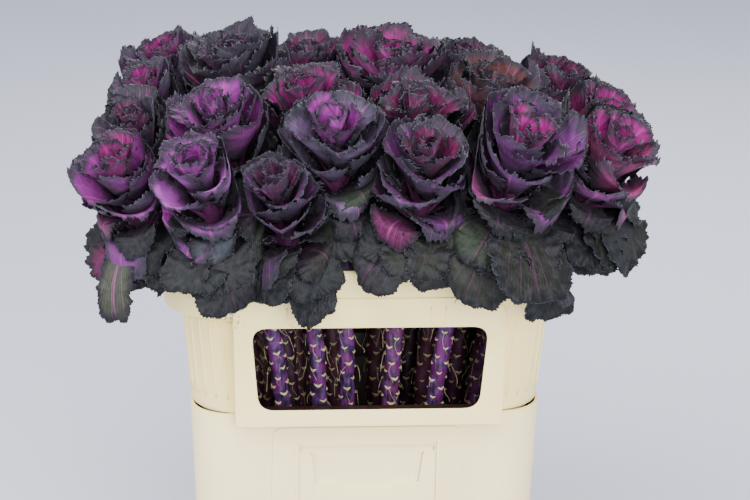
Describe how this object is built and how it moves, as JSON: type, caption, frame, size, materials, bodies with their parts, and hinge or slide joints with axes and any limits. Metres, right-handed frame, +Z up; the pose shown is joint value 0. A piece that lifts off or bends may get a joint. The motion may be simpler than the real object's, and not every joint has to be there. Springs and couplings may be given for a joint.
{
  "type": "cut ornamental kale bunch in a flower bucket",
  "caption": "Bunch of cut purple ornamental kale heads on long stems, standing in water in a two-part rectangular flower bucket whose upper collar has a window.",
  "frame": {"origin": "centre of the bucket's foot, on the surface that it stands on", "axes": "+Z up, -Y towards the side with the collar's window, +X to the right of a viewer who faces the window"},
  "size_m": [0.5589, 0.4444, 0.5895],
  "materials": {
    "bucket": "moulded cream polypropylene, satin, lightly scuffed",
    "water": "clear still water",
    "stem": "purple woody stem with pale leaf scars",
    "leaves_magenta": "matt waxy leaf, magenta heart with dark frilled edges",
    "leaves_purple": "matt waxy leaf, purple with dark frilled edges",
    "leaves_dark": "matt waxy leaf, dark grey-green with a dull red heart"
  },
  "bodies": {
    "root": {"bucket": "bucket", "collar": "bucket", "water": "water", "stem_01": "stem", "stem_02": "stem", "stem_03": "stem", "stem_04": "stem", "stem_05": "stem", "stem_06": "stem", "stem_07": "stem", "stem_08": "stem", "stem_09": "stem", "stem_10": "stem", "stem_11": "stem", "stem_12": "stem", "stem_13": "stem", "stem_14": "stem", "stem_15": "stem", "stem_16": "stem", "stem_17": "stem", "stem_18": "stem", "stem_19": "stem", "stem_20": "stem", "head_01": "leaves_magenta", "head_02": "leaves_magenta", "head_03": "leaves_purple", "head_04": "leaves_purple", "head_05": "leaves_purple", "head_06": "leaves_purple", "head_07": "leaves_magenta", "head_08": "leaves_dark", "head_09": "leaves_magenta", "head_10": "leaves_magenta", "head_11": "leaves_magenta", "head_12": "leaves_dark", "head_13": "leaves_magenta", "head_14": "leaves_magenta", "head_15": "leaves_magenta", "head_16": "leaves_magenta", "head_17": "leaves_dark", "head_18": "leaves_dark", "head_19": "leaves_magenta", "head_20": "leaves_dark"}
  },
  "joints": []
}
